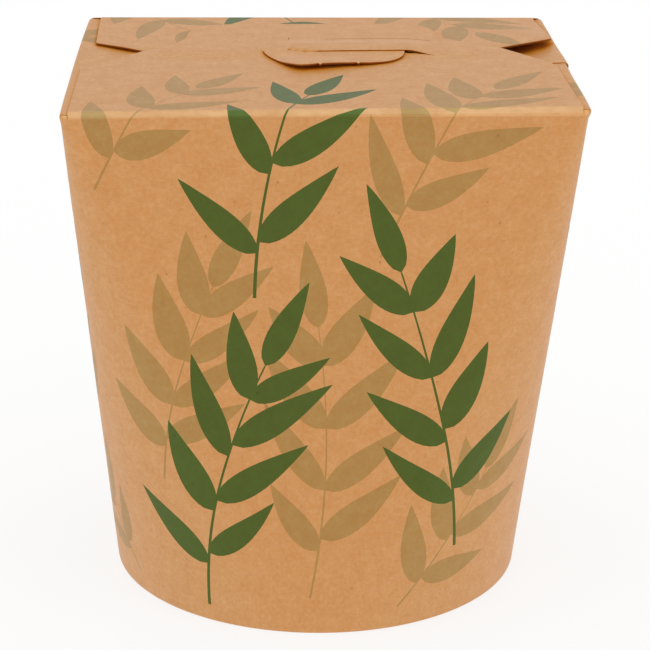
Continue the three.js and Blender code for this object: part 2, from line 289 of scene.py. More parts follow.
def spot(s, v, cut_as=None):
    """Where a point of the flat blank's printed face lies on the folded box. It belongs to the
    flap or the corner that the point at cut_as belongs to, if that is given."""
    s, v = np.broadcast_arrays(np.asarray(s, float), np.asarray(v, float))
    k = np.searchsorted(corners_s, s, side="right")
    from_middle = s - middles_s[k]
    start = np.array([f["start"] for f in folds])[k]
    past = v - start
    cut_place = from_middle if cut_as is None else cut_as - middles_s[k]
    between_slots = (cut_place > flap_from[k] - slot_width / 2) & (cut_place < flap_to[k] + slot_width / 2)
    on_flap = (past > 0) & (between_slots | (past > 2))
    # Between two flaps the wall's corner is pushed in with them, a little lower than they are.
    on_corner = (past > 0) & ~on_flap
    pushed_in = np.where(on_corner, np.interp(past, side_fold["along"], side_fold["inward"]), 0)
    pushed_up = 0.9 * np.interp(past, side_fold["along"], side_fold["upward"])
    inward = np.zeros_like(v)
    upward = np.zeros_like(v)
    for side, fold in enumerate(folds):
        here = on_flap & (k == side)
        w = past[here]
        inward[here] = np.interp(w, fold["along"], fold["inward"]) + np.clip(w - fold["end"], 0, None)
        upward[here] = np.interp(w, fold["along"], fold["upward"])
    # The wall's foot is rolled in, and the hem runs up again on the inside.
    rolled = np.clip(rolled_radius - v, 0, None)
    turn = np.clip(rolled / rolled_radius, 0, math.pi)
    wall_z = np.where(rolled > 0, rolled_radius * (1 - np.sin(turn))
                      + np.clip(rolled - math.pi * rolled_radius, 0, None), v)
    inset = rolled_radius * (1 - np.cos(turn))
    z = np.where(on_flap, start + upward, np.where(on_corner, start + pushed_up, wall_z))
    # The wall's plan at this height: straight runs with a round corner at each end, which grow
    # from the base's circle to the oblong top. A flap has no round corners.
    u = np.clip(np.where(past > 0, start, wall_z) / height, 0, 1)
    radius = (1 - u) * base_radius + u * corner_radius
    run = u * half_run[k]
    stretch = (2 * run + radius * math.pi / 2) / (2 * half_run[k] + corner_arc)
    along = from_middle * stretch
    straight = np.where(on_flap, smooth(0, 0.9, past), 0)
    angle = np.clip((np.abs(along) - run) / radius, 0, None) * (1 - straight)
    lap = lap_share(s)
    proud = lap * lap_step * smooth(1.0, 3.35, v) * (1 - smooth(0, 1.3, inward)) \
        + unevenness(s, v, start)
    reach = radius - inset + proud - pushed_in
    round_corner = np.sign(along) * (np.minimum(np.abs(along), run) + reach * np.sin(angle))
    sideways = round_corner + straight * (along - round_corner)
    out = u * corner_out[k] + reach * np.cos(angle) - inward
    x = facing[k][..., 0] * out + heading[k][..., 0] * sideways
    y = facing[k][..., 1] * out + heading[k][..., 1] * sideways
    rise = np.where(k == FRONT, front_rise(x, y),
                    np.where(k == BACK, back_rise(x, y), side_rise(k, y, inward, lap)))
    z = z + np.where(on_flap, rise, 0)
    return np.stack(settled(x, y, z), axis=-1)


def outward(s, v, step=0.03):
    """The printed face's normal at a point of the blank."""
    across = spot(s + step, v, s) - spot(s - step, v, s)
    up = spot(s, v + step, s) - spot(s, v - step, s)
    normal = np.cross(across, up)
    return normal / np.linalg.norm(normal, axis=-1, keepdims=True)


# ---- The carton's board: the outline of the blank and its cuts ----
# The die cuts the blank's outline with a slot between each pair of flaps, the slit for the
# lock tab and the line behind the strap. The lock tab is the back flap's own tongue, which
# passes below the strap and comes up through the slit.

def on_side(side, x, y):
    """The flat blank's point that lies at x, y on a side's flap."""
    fold = folds[side]
    u = fold["start"] / height
    radius = (1 - u) * base_radius + u * corner_radius
    stretch = (2 * u * half_run[side] + radius * math.pi / 2) / (2 * half_run[side] + corner_arc)
    out = x * facing[side][0] + y * facing[side][1]
    sideways = x * heading[side][0] + y * heading[side][1]
    inward = u * corner_out[side] + radius - out
    return (middles_s[side] + sideways / stretch,
            fold["start"] + fold["end"] + inward - fold["inward"][-1])


def rounded(points, count):
    """A smooth run through a few points, the same distance apart."""
    p = np.array(points, float)
    p = np.vstack([2 * p[0] - p[1], p, 2 * p[-1] - p[-2]])
    run = []
    for a, b, c, d in zip(p[:-3], p[1:-2], p[2:-1], p[3:]):
        t = np.linspace(0, 1, 24, endpoint=False)[:, None]
        run.append(0.5 * (2 * b + (c - a) * t + (2 * a - 5 * b + 4 * c - d) * t ** 2
                          + (3 * b - 3 * c + d - a) * t ** 3))
    run = np.vstack(run + [p[-2:-1]])
    length = np.concatenate([[0], np.cumsum(np.linalg.norm(np.diff(run, axis=0), axis=1))])
    at = np.linspace(0, length[-1], count)
    return [(float(np.interp(t, length, run[:, 0])), float(np.interp(t, length, run[:, 1])))
            for t in at]


# Each flap's outline in plan, from x to the right and y to the back. The front and the back flap
# meet at two tips, where the gaps over the side flaps end.
left_tip = (-36.8, 8.7)
right_tip = (37.85, 11.2)
front_flap = [(-48.4, -5.6)] \
    + rounded([left_tip, (-31.6, 12), (-28.6, 17.5), (-27.4, 25), (-25.2, 30.2), (-19, 31.9)], 26) \
    + rounded([(15, 32.3), (21.6, 31.2), (24.6, 26.5), (26, 19.2), (31, 14.6), right_tip], 26) \
    + [(46.3, -1.8), (47.9, -4.4)]
tab_front = rounded([(17.8, 6.6), (17.2, 2.5), (15.8, -0.6), (13.8, -2.8), (10, -4.6), (7.6, -5.2),
                     (-0.2, -7.6), (-3.3, -8.6), (-4.9, -8.3), (-7.3, -4.8), (-10.7, 2.5),
                     (-11.6, 5.2), (-11.7, 6.7)], 60)
# Two ties held the tab's edge in the sheet. They have torn and left a nub each.
tie_gap = 0.4
nub_shape = ((0.32, 0.0), (0.2, -0.6), (-0.12, -0.8), (-0.32, 0.0))
ties = []
for tie_x in (7.6, -0.2):
    tie_y = np.interp(-tie_x, [-x for x, y in tab_front], [y for x, y in tab_front])
    ties.append((tie_x, float(tie_y)))
tab_edge = [(x, y) for x, y in tab_front
            if y > 0 or min(abs(x - tie_x) for tie_x, tie_y in ties) > tie_gap]
for tie_x, tie_y in ties:
    tab_edge += [(tie_x + a, tie_y + b) for a, b in nub_shape]
tab_edge.sort(key=lambda point: -point[0])
back_flap = [(48.85, 14.6), right_tip, (31, 9.4), (20.0, 9.4), (18.3, 7.9)] + tab_edge \
    + [(-11.2, 7.8), (-9.6, 8.5), (-6.7, 8.4), (-6.5, 6.6), (-5.9, 6.6), (-5.9, 13.2),
       (-12.8, 13.2), (-13.6, 9.4), (-30, 9.4), (-36.9, 10.2), (-46.65, 15.7)]
# The side flaps narrow towards the middle. The right one is in two parts, at the blank's ends.
flap_depth = 30
inner_x = top_width / 2 - flap_depth
root_x = top_width / 2 - 5
inner_y = 27
root_y = 37.5
left_flap = [(-root_x, root_y), (-inner_x, inner_y), (-inner_x, -inner_y), (-root_x, -root_y)]
right_flap_rear = [(50.0, -2.2), (46.2, -1.2), (inner_x + 5, 0.1), (inner_x, 5), (inner_x, inner_y),
                   (root_x, root_y)]
right_flap_front = [(root_x, -root_y), (inner_x, -inner_y), (inner_x, -5), (inner_x + 5, 1.4),
                    (49.0, 1.4)]

# Between two flaps the wall's rim runs up by rim_rise. A side flap's ends are cut back by
# end_cut, a little way up from its fold, so that it clears the corners as it is folded in.
rim_rise = 0.95
rim_parts = 13
end_cut = 1.9
cut_from = {LEFT: 3.3, RIGHT_AGAIN: 2.0}
cut_to = {LEFT: 2.0, RIGHT: 2.75}
usual_cut = 1.75
cut_slant = 0.75
top_line = [(seam_s, side_fold["start"])]
for side, points in ((RIGHT, right_flap_rear), (BACK, back_flap), (LEFT, left_flap),
                     (FRONT, front_flap), (RIGHT_AGAIN, right_flap_front)):
    start = folds[side]["start"]
    first = middles_s[side] + flap_from[side]
    last = middles_s[side] + flap_to[side]
    cut_back = 0.0 if side in (BACK, FRONT) else end_cut
    low_from = start + cut_from.get(side, usual_cut)
    low_to = start + cut_to.get(side, usual_cut)
    if side != RIGHT:
        rim = np.linspace(top_line[-1], (first - slot_width, start + rim_rise), rim_parts + 1)
        top_line += [tuple(q) for q in rim[1:].tolist()]
        top_line += [(first - slot_width, start), (first, start), (first, low_from),
                     (first + cut_back, low_from + cut_slant)]
    top_line += [on_side(side, x, y) for x, y in points]
    if side != RIGHT_AGAIN:
        top_line += [(last - cut_back, low_to + cut_slant), (last, low_to), (last, start),
                     (last + slot_width, start), (last + slot_width, start + rim_rise)]

# The blank's foot is the hem's edge. Above the hem its last end runs on below the first as a lap.
hem_end = rolled_radius - math.pi * rolled_radius - hem_length
lap_width = 4.0
lap_foot = 3.4
last_end = around + seam_s - slot_width
lap_end = around + seam_s + lap_width
corner_points = [(seam_s, hem_end), (last_end, hem_end), (last_end, lap_foot), (lap_end, lap_foot),
                 (lap_end, side_fold["start"])] + top_line[::-1]
longest_side = 2.0
outline = []
for (a, b), (c, d) in zip(corner_points, corner_points[1:] + corner_points[:1]):
    parts = max(1, math.ceil(math.hypot(c - a, d - b) / longest_side))
    outline += [(a + (c - a) * i / parts, b + (d - b) * i / parts) for i in range(parts)]


def opened(line, before, behind):
    """A line on the front flap, opened to a narrow gap by so much before and behind it."""
    edge = [on_side(FRONT, x, y - gap) for (x, y), gap in zip(line, before)]
    far_edge = [on_side(FRONT, x, y + gap) for (x, y), gap in zip(line, behind)]
    return edge + far_edge[::-1]


slit_line = rounded(list(zip(slit_x, slit_y)), 40)
slit_half = [(0.7 + 0.3 * smooth(-6.2, -4.6, x)) * slit_gap / 2 for x, y in slit_line]
slit_half_before = [half + slit_wedge(x) for (x, y), half in zip(slit_line, slit_half)]
slit = opened(slit_line, slit_half_before, slit_half)
crease_gap = 0.23
crease_line = rounded([(1.4, 17.4), (8, 17.8), (17.4, 17.9), (20.8, 16.9), (23.8, 15.5)], 24)
crease_half = [crease_gap / 2] * len(crease_line)
strap_cut = opened(crease_line, crease_half, crease_half)
nick = [on_side(FRONT, x, y) for x, y in ((-6.35, 17.1), (-6.25, 17.1), (-6.2, 18.9), (-6.3, 18.9))]
cuts = [slit, strap_cut, nick]

# ---- The print: sprigs in two inks ----
# Flexographic inks on the flat sheet, before it is cut: sprigs of paired leaves in a deep green,
# over paler ones in an olive tan that lets the kraft show through.

def paces(s, v):
    """How far a unit along s goes on the folded box, and how far a unit along v goes sideways
    and up, all in millimetres."""
    reach = 0.2
    across = (spot(s + reach, v) - spot(s - reach, v)) / (2 * reach)
    up = (spot(s, v + reach) - spot(s, v - reach)) / (2 * reach)
    width = np.linalg.norm(across)
    lean = float(up @ across) / width
    rise = math.sqrt(max(float(up @ up) - lean * lean, 1e-9))
    return width, lean, rise


def moved(s, v, right, up, pace):
    """The point of the blank so many millimetres to the right of and above another."""
    width, lean, rise = pace
    dv = up / rise
    return s + (right - dv * lean) / width, v + dv


def leaf(s, v, degrees, length, width, bend=0.0):
    """A leaf's outline on the blank: pointed at its tip, rounded where it joins its stalk."""
    pace = paces(s, v)
    t = np.linspace(0, 1, 16)
    half = 0.5 * width * (np.sin(np.pi * t ** 0.72) ** 0.85) * (1 - 0.25 * t)
    turn = np.radians(degrees + bend * t)
    step = length / (len(t) - 1)
    x = np.concatenate([[0], np.cumsum(np.sin(turn[:-1]) * step)])
    y = np.concatenate([[0], np.cumsum(np.cos(turn[:-1]) * step)])
    right = [(a + h * math.cos(q), b - h * math.sin(q)) for a, b, h, q in zip(x, y, half, turn)]
    left = [(a - h * math.cos(q), b + h * math.sin(q)) for a, b, h, q in zip(x, y, half, turn)]
    ring = right + left[-2:0:-1]
    return [moved(s, v, a, b, pace) for a, b in ring]


def sprig(place, degrees, length, pairs, leaf_length, leaf_width, curl, stem, seed):
    """A curved stem with leaves in pairs and one at its tip. Its outlines, stem first."""
    draw = np.random.default_rng(seed)
    s, v = place
    steps = 22
    path = []
    for i in range(steps + 1):
        turned = degrees + curl * i / steps
        pace = paces(s, v)
        path.append((s, v, turned, pace))
        s, v = moved(s, v, math.sin(math.radians(turned)) * length / steps,
                     math.cos(math.radians(turned)) * length / steps, pace)
    right, left = [], []
    for i, (ps, pv, turned, pace) in enumerate(path):
        half = 0.5 * stem * (1 - 0.55 * i / steps)
        a, b = math.cos(math.radians(turned)) * half, -math.sin(math.radians(turned)) * half
        right.append(moved(ps, pv, a, b, pace))
        left.append(moved(ps, pv, -a, -b, pace))
    shapes = [right + left[::-1]]
    for i in range(pairs):
        f = 0.2 + 0.66 * i / max(1, pairs - 1)
        size = 0.8 + 0.3 * math.sin(math.pi * (0.15 + 0.8 * f))
        for hand in (-1, 1):
            g = f + hand * 0.012 + draw.uniform(-0.012, 0.012)
            ps, pv, turned, pace = path[int(round(g * steps))]
            spread = hand * (52 - 12 * f + draw.uniform(-6, 6))
            shapes.append(leaf(ps, pv, turned + spread, leaf_length * size * draw.uniform(0.86, 1.1),
                               leaf_width * draw.uniform(0.88, 1.08), -hand * draw.uniform(6, 20)))
    shapes.append(leaf(path[-1][0], path[-1][1], path[-1][2], leaf_length * 0.95,
                       leaf_width * 0.9, draw.uniform(-10, 10)))
    return shapes


# Ink, place across and height on the wall, lean and length, pairs of leaves, their length and
# width, and how far the stem curls. The broad walls carry one set and the side walls the other.
PRINTED, GREEN, OLIVE, CUT, PLAIN, TORN = range(6)
broad_print = [
    (OLIVE, -3, 8, 10, 58, 4, 19.0, 6.4, -18),
    (OLIVE, -42, 32, 8, 44, 4, 18.0, 6.2, 16),
    (OLIVE, 12, 80, 24, 50, 4, 19.0, 6.2, 8),
    (OLIVE, 23, 5, 40, 34, 3, 17.0, 6.0, -18),
    (OLIVE, -46, 94, 26, 38, 3, 16.0, 5.8, 10),
    (GREEN, -34, 4, 2, 56, 4, 20.0, 6.4, 24),
    (GREEN, 39, 17, -8, 62, 4, 20.0, 6.2, -10),
    (GREEN, -15, 72, 2, 50, 3, 19.0, 6.2, 22),
]
side_print = [
    (OLIVE, 20, 30, -10, 50, 4, 18.0, 6.0, 18),
    (OLIVE, -26, 66, 4, 46, 4, 16.0, 5.0, -10),
    (OLIVE, 30, 5, -30, 30, 3, 16.0, 5.6, -10),
    (GREEN, -8, 8, 10, 56, 4, 19.0, 6.0, -20),
    (GREEN, 26, 60, -16, 26, 2, 17.0, 5.8, 10),
]
stem_width = {GREEN: 0.7, OLIVE: 0.45}
prints = []
for ink_wanted in (OLIVE, GREEN):
    for side in (RIGHT, BACK, LEFT, FRONT, RIGHT_AGAIN):
        mirror = -1 if side == BACK else 1
        wall_print = broad_print if side in (BACK, FRONT) else side_print
        for seed, row in enumerate(wall_print):
            ink, x, z, lean, length, pairs, leaf_length, leaf_width, curl = row
            if ink == ink_wanted:
                place = (float(middles_s[side] + x * mirror), float(z))
                twig = sprig(place, lean * mirror, length, pairs, leaf_length, leaf_width,
                             curl * mirror, stem_width[ink], seed)
                prints += [(ink, shape) for shape in twig]
# The torn nubs show the pulp.
nub_ring = ((0.5, 0.3), (0.5, -1.2), (-0.5, -1.2), (-0.5, 0.3))
torn_places = [[on_side(BACK, tie_x + a, tie_y + b) for a, b in nub_ring] for tie_x, tie_y in ties]

# ---- The carton's board: its mesh ----
# The printed face follows the folded box exactly, with the inks cut into it. The plain face
# lies a board's thickness inside it, and narrow strips close every cut edge.
from_corner = [0, 0.18, 0.38, 0.62, 0.92, 1.3, 1.8, 2.5, 3.4, 4.6, 6.2, 8.2]
wall_step = 2.3
flap_step = 1.1
flap_reach = {RIGHT: 29, BACK: 51, LEFT: 29, FRONT: 73, RIGHT_AGAIN: 29}


def columns(side):
    """Where the mesh's upright lines lie along a side, closer together towards its corners."""
    half = (2 * half_run[side] + corner_arc) / 2
    wide_steps = int(round((half - from_corner[-1]) / wall_step))
    inner_part = np.linspace(from_corner[-1] + wall_step, half, wide_steps)
    near = [half - d for d in from_corner] + [half - d for d in inner_part]
    return sorted(set(np.round([middles_s[side] + q for q in near]
                               + [middles_s[side] - q for q in near], 4)))


def on_blank(places):
    """Those upright lines that lie between the two ends of the blank."""
    return [q for q in places if seam_s < q < lap_end]


class Sheet:
    """Points, lines and shapes for one triangulation of the flat blank."""

    def __init__(self):
        self.points = []
        self.lines = []
        self.shapes = []

    def lattice(self, s_list, v_list, lines=True):
        """A grid of points, joined by lines or left for the triangles to join."""
        first = len(self.points)
        for v in v_list:
            self.points += [(s, v) for s in s_list]
        wide = len(s_list)
        if lines:
            for j in range(len(v_list)):
                for i in range(wide):
                    at = first + j * wide + i
                    if i + 1 < wide:
                        self.lines.append((at, at + 1))
                    if j + 1 < len(v_list):
                        self.lines.append((at, at + wide))

    def shape(self, ring):
        """A closed outline, turned to run anticlockwise."""
        area = sum(a[0] * b[1] - b[0] * a[1] for a, b in zip(ring, ring[1:] + ring[:1]))
        ring = ring if area > 0 else ring[::-1]
        first = len(self.points)
        self.points += [(float(s), float(v)) for s, v in ring]
        self.shapes.append(list(range(first, len(self.points))))

    def triangles(self):
        """Points and triangles, with the shapes that each triangle lies in and the points put in
        that each point stands for."""
        found = delaunay_2d_cdt(self.points, self.lines, self.shapes, 0, 1e-5)
        flat = np.array([tuple(p) for p in found[0]])
        return flat, found[2], found[5], found[3]


rolled_rows = [rolled_radius - w for w in np.linspace(math.pi * rolled_radius, 0, 7)]
foot_rows = [1.4, 2.4, lap_foot]
wall_rows = list(np.linspace(5.6, 106.6, 45))
hem_row = hem_end + 2.4
everywhere = on_blank(sorted(set(q for side in range(5) for q in columns(side))))

sheet = Sheet()
for shape in [outline] + cuts + [shape for ink, shape in prints] + torn_places:
    sheet.shape(shape)
slot_of_shape = [PRINTED] + [None] * len(cuts) + [ink for ink, shape in prints] \
    + [TORN] * len(torn_places)
sheet.lattice(everywhere, [hem_row] + rolled_rows + foot_rows + wall_rows)
for side in range(5):
    fold = folds[side]
    fold_rows = np.linspace(-0.12, fold["end"] + 0.1, 22 if side == FRONT else 12)
    flap_rows = np.linspace(fold["end"] + 0.8, flap_reach[side], int(flap_reach[side] / flap_step))
    s_list = [q for q in on_blank(columns(side))
              if flap_from[side] < q - middles_s[side] < flap_to[side]]
    sheet.lattice(s_list, [fold["start"] + w for w in list(fold_rows) + list(flap_rows)])
# The four corners at the rim bend the most, so they get points of their own.
for corner in corners_s:
    sheet.lattice(list(corner + np.linspace(-2.4, 2.0, 23)), list(np.linspace(107.1, 108.8, 13)),
                  lines=False)
flat, triangles, members, _ = sheet.triangles()

kept, inks = [], []
for triangle, inside in zip(triangles, members):
    slots = [slot_of_shape[i] for i in sorted(inside)]
    if 0 in inside and None not in slots:
        kept.append(triangle)
        inks.append(slots[-1])
kept = np.array(kept)

# The cut edges are the sides that belong to one triangle only. They run in loops, with the
# board on their left.
sides = dict.fromkeys(edge for a, b, c in kept for edge in ((a, b), (b, c), (c, a)))
loose = [edge for edge in sides if (edge[1], edge[0]) not in sides]
following = dict(loose)
loops = []
while following:
    first = next(iter(following))
    loop = [first]
    point = following.pop(first)
    while point != first:
        loop.append(point)
        point = following.pop(point)
    loops.append(loop)
loops.sort(key=len, reverse=True)

# The plain face shares the cut edges' points and is coarser between them.
plain = Sheet()
ring_points = []
for loop in loops:
    ring_points += loop if loop is loops[0] else loop[::-1]
    plain.shape([tuple(flat[p]) for p in ring_points[-len(loop):]])
plain.lattice(everywhere[::2], [hem_row] + rolled_rows[::2] + foot_rows[2:] + wall_rows[2::3],
              lines=False)
for side in range(5):
    fold = folds[side]
    reach = flap_reach[side] - 1
    middle = sum(fold["creases"]) / len(fold["creases"])
    rows = [-0.3, middle, fold["end"] + 0.3] + list(np.linspace(fold["end"] + 2, reach, reach // 2))
    plain.lattice(on_blank(columns(side)[::2]), [fold["start"] + w for w in rows], lines=False)
plain_flat, plain_triangles, plain_members, plain_sources = plain.triangles()
plain_kept = [t for t, inside in zip(plain_triangles, plain_members)
              if 0 in inside and not any(i > 0 for i in inside)]

# Points of the printed face first, then those of the plain face.
used = np.unique(kept)
number = {int(p): i for i, p in enumerate(used)}
face_s, face_v = flat[used].T
face_at = spot(face_s, face_v)
face_out = outward(face_s, face_v)
plain_used = sorted({p for t in plain_kept for p in t})
plain_number = {p: len(used) + i for i, p in enumerate(plain_used)}
back_s, back_v = plain_flat[plain_used].T
back_out = outward(back_s, back_v)
back_at = spot(back_s, back_v) - back_out * board
points = np.vstack([face_at, back_at])
plain_of_rim = {}
for p in plain_used:
    for source in plain_sources[p]:
        if source < len(ring_points):
            plain_of_rim[ring_points[source]] = plain_number[p]

corner_normals = []
faces, finishes = [], []
for triangle, ink in zip(kept, inks):
    face = [number[int(p)] for p in triangle]
    faces.append(face)
    finishes.append(ink)
    corner_normals += [face_out[p] for p in face]
for triangle in plain_kept:
    face = [plain_number[p] for p in triangle][::-1]
    faces.append(face)
    finishes.append(PLAIN)
    corner_normals += [-back_out[p - len(used)] for p in face]
for a, b in loose:
    face = [number[int(a)], plain_of_rim[a], plain_of_rim[b], number[int(b)]]
    faces.append(face)
    finishes.append(CUT)
    corners = points[face]
    flat_normal = np.cross(corners[2] - corners[0], corners[3] - corners[1])
    corner_normals += [flat_normal / max(np.linalg.norm(flat_normal), 1e-12)] * 4


def crease_distance(s, v):
    """Millimetres inside the pale band of the creased front fold, worn and with a painted highlight, or
    less than 0 outside it. The other folds are rolled over without a crease, so theirs stays below 0."""
    k = np.searchsorted(corners_s, s, side="right")
    beside = 0.36
    least = 0.3
    band = np.array([(f["start"] + max(least, f["creases"][0] - beside),
                      f["start"] + min(f["end"] - least, f["creases"][-1] + beside)) for f in folds])
    # The band reaches lower down the wall towards the right.
    lower = 0.45 * smooth(-15, 50, s - middles_s[FRONT]) * (k == FRONT)
    inside = np.minimum(v - band[k, 0] + lower, band[k, 1] - v)
    return np.clip(inside, -5, np.where(k == FRONT, 5, -0.3))


carton_mesh = bpy.data.meshes.new("carton_board")
carton_mesh.from_pydata((points * MM).tolist(), [], faces)
carton_mesh.polygons.foreach_set("material_index", finishes)
carton_mesh.polygons.foreach_set("use_smooth", [True] * len(faces))
place = carton_mesh.attributes.new("blank", "FLOAT_VECTOR", "POINT")
depth = np.concatenate([np.zeros(len(used)), np.full(len(plain_used), board)])
blank = np.stack([np.concatenate([face_s, back_s]), np.concatenate([face_v, back_v]), depth], axis=1)
place.data.foreach_set("vector", (blank * MM).astype(np.float32).ravel())
crease = carton_mesh.attributes.new("crease", "FLOAT", "POINT")
crease.data.foreach_set("value", crease_distance(blank[:, 0], blank[:, 1]).astype(np.float32))
carton_mesh.validate()
carton_mesh.normals_split_custom_set([tuple(n) for n in corner_normals])
carton_board = bpy.data.objects.new("carton_board", carton_mesh)
scene.collection.objects.link(carton_board)

# ---- The carton's board: kraft pulp and inks ----
# Unbleached kraft: long brown fibres with paler and more orange clouds, a few dark specks and
# a slight tooth. The inks sink in, so that the pulp's clouds show through them.

def new_node(tree, kind, inputs=None, **settings):
    """A shader node with its settings, and its inputs joined to sockets or set to values."""
    made = tree.nodes.new(kind)
    for name, value in settings.items():
        setattr(made, name, value)
    for name, value in (inputs or {}).items():
        if isinstance(value, bpy.types.NodeSocket):
            tree.links.new(value, made.inputs[name])
        else:
            made.inputs[name].default_value = value
    return made


def arithmetic(tree, operation, a, b=0.0):
    """Two sockets or numbers put together."""
    made = new_node(tree, "ShaderNodeMath", operation=operation)
    for socket, value in zip(made.inputs, (a, b)):
        if isinstance(value, bpy.types.NodeSocket):
            tree.links.new(value, socket)
        else:
            socket.default_value = value
    return made.outputs[0]


def ranged(tree, value, low, high, to_low=0.0, to_high=1.0):
    """A value taken from the range low to high to another range, and held at its ends."""
    made = new_node(tree, "ShaderNodeMapRange", {"Value": value, "From Min": low, "From Max": high,
                                                "To Min": to_low, "To Max": to_high})
    return made.outputs["Result"]


def blended(tree, kind, amount, a, b):
    """Colour a with so much of colour b mixed in or multiplied over it."""
    made = new_node(tree, "ShaderNodeMix", data_type="RGBA", blend_type=kind)
    for name, value in (("Factor_Float", amount), ("A_Color", a), ("B_Color", b)):
        socket = next(q for q in made.inputs if q.identifier == name)
        if isinstance(value, bpy.types.NodeSocket):
            tree.links.new(value, socket)
        else:
            socket.default_value = value
    return next(q for q in made.outputs if q.identifier == "Result_Color")


def noise(tree, place, scale, detail=2.0, roughness=0.5, stretch=None, turned=0.0):
    """Even noise about 0.5, its coordinate turned and stretched for fibres."""
    if stretch:
        turned_place = new_node(tree, "ShaderNodeMapping", {
            "Vector": place, "Rotation": (0, 0, math.radians(turned)), "Scale": stretch})
        place = turned_place.outputs["Vector"]
    made = new_node(tree, "ShaderNodeTexNoise", {"Vector": place, "Scale": scale, "Detail": detail,
                                                 "Roughness": roughness})
    return made.outputs["Fac"]


pulp = bpy.data.node_groups.new("kraft pulp", "ShaderNodeTree")
pulp.interface.new_socket("Place", in_out="INPUT", socket_type="NodeSocketVector")
for name in ("Clouds", "Warmth", "Fibres", "Specks", "Tooth"):
    pulp.interface.new_socket(name, in_out="OUTPUT", socket_type="NodeSocketFloat")
pulp_in = pulp.nodes.new("NodeGroupInput").outputs["Place"]
pulp_out = pulp.nodes.new("NodeGroupOutput")
coarse = noise(pulp, pulp_in, 260.0, 2.0, 0.55)
middling = noise(pulp, pulp_in, 1050.0, 2.0, 0.6)
fine_grain = noise(pulp, pulp_in, 3400.0, 1.0, 0.5)
clouds = arithmetic(pulp, "ADD", arithmetic(pulp, "MULTIPLY", coarse, 0.3),
                    arithmetic(pulp, "ADD", arithmetic(pulp, "MULTIPLY", middling, 0.42),
                               arithmetic(pulp, "MULTIPLY", fine_grain, 0.28)))
warm_place = new_node(pulp, "ShaderNodeVectorMath", {0: pulp_in, 1: (0.7, 0.3, 0.1)}, operation="ADD")
warmth = noise(pulp, warm_place.outputs[0], 620.0, 3.0, 0.62)
# Strands lie four ways. Each way is its degrees, its scale and how far its noise is shifted.
strand_ways = ((8, 210.0, 0.0), (62, 260.0, 0.37), (-51, 240.0, 0.71), (97, 230.0, 0.93))
strands = []
for turned, scale, shift in strand_ways:
    shifted = new_node(pulp, "ShaderNodeVectorMath", {0: pulp_in, 1: (shift, shift * 0.6, shift)},
                       operation="ADD")
    strand = noise(pulp, shifted.outputs[0], scale, 2.0, 0.5, (1.6, 11.0, 3.0), turned)
    strands.append(ranged(pulp, strand, 0.66, 0.78))
fibres = strands[0]
for strand in strands[1:]:
    fibres = arithmetic(pulp, "MAXIMUM", fibres, strand)
speck_cells = new_node(pulp, "ShaderNodeTexVoronoi", {"Vector": pulp_in, "Scale": 330.0})
speck_size = ranged(pulp, speck_cells.outputs["Distance"], 0.05, 0.13, 1.0, 0.0)
speck_pick = new_node(pulp, "ShaderNodeSeparateColor", {"Color": speck_cells.outputs["Color"]})
specks = arithmetic(pulp, "MULTIPLY", speck_size,
                    arithmetic(pulp, "GREATER_THAN", speck_pick.outputs["Red"], 0.86))
tooth = arithmetic(pulp, "ADD", arithmetic(pulp, "MULTIPLY", fine_grain, 0.5),
                   arithmetic(pulp, "ADD", arithmetic(pulp, "MULTIPLY", middling, 0.35),
                              arithmetic(pulp, "MULTIPLY", fibres, 0.15)))
for name, value in (("Clouds", clouds), ("Warmth", warmth), ("Fibres", fibres), ("Specks", specks),
                    ("Tooth", tooth)):
    pulp.links.new(value, pulp_out.inputs[name])

# Where board is creased it is paler, partly worn by rubbing and partly a painted highlight, with a line of
# painted shade along each crease inside it.
rub_and_painted_highlight = bpy.data.node_groups.new("crease rub and painted highlight", "ShaderNodeTree")
rub_and_painted_highlight.interface.new_socket("Crease", in_out="INPUT", socket_type="NodeSocketFloat")
rub_and_painted_highlight.interface.new_socket("Place", in_out="INPUT", socket_type="NodeSocketVector")
for name in ("Pale", "Crease shade"):
    rub_and_painted_highlight.interface.new_socket(name, in_out="OUTPUT", socket_type="NodeSocketFloat")
band_in = rub_and_painted_highlight.nodes.new("NodeGroupInput").outputs
band_out = rub_and_painted_highlight.nodes.new("NodeGroupOutput")
band_patches = noise(rub_and_painted_highlight, band_in["Place"], 420.0, 3.0, 0.6)
band_lengths = noise(rub_and_painted_highlight, band_in["Place"], 70.0, 2.0, 0.5)
pale_band = ranged(rub_and_painted_highlight, band_in["Crease"], -0.3, 0.2)
pale = arithmetic(rub_and_painted_highlight, "MULTIPLY", pale_band, ranged(rub_and_painted_highlight, band_patches, 0.3, 0.6, 0.65, 1.0))
pale = arithmetic(rub_and_painted_highlight, "MULTIPLY", pale, ranged(rub_and_painted_highlight, band_lengths, 0.35, 0.6, 0.6, 1.0))
crease_shade_band = arithmetic(rub_and_painted_highlight, "ABSOLUTE", arithmetic(rub_and_painted_highlight, "SUBTRACT", band_in["Crease"], 0.28))
crease_shade = arithmetic(rub_and_painted_highlight, "MULTIPLY", ranged(rub_and_painted_highlight, crease_shade_band, 0.05, 0.17, 1.0, 0.0),
                     ranged(rub_and_painted_highlight, band_patches, 0.35, 0.6, 1.0, 0.2))
rub_and_painted_highlight.links.new(pale, band_out.inputs["Pale"])
rub_and_painted_highlight.links.new(crease_shade, band_out.inputs["Crease shade"])
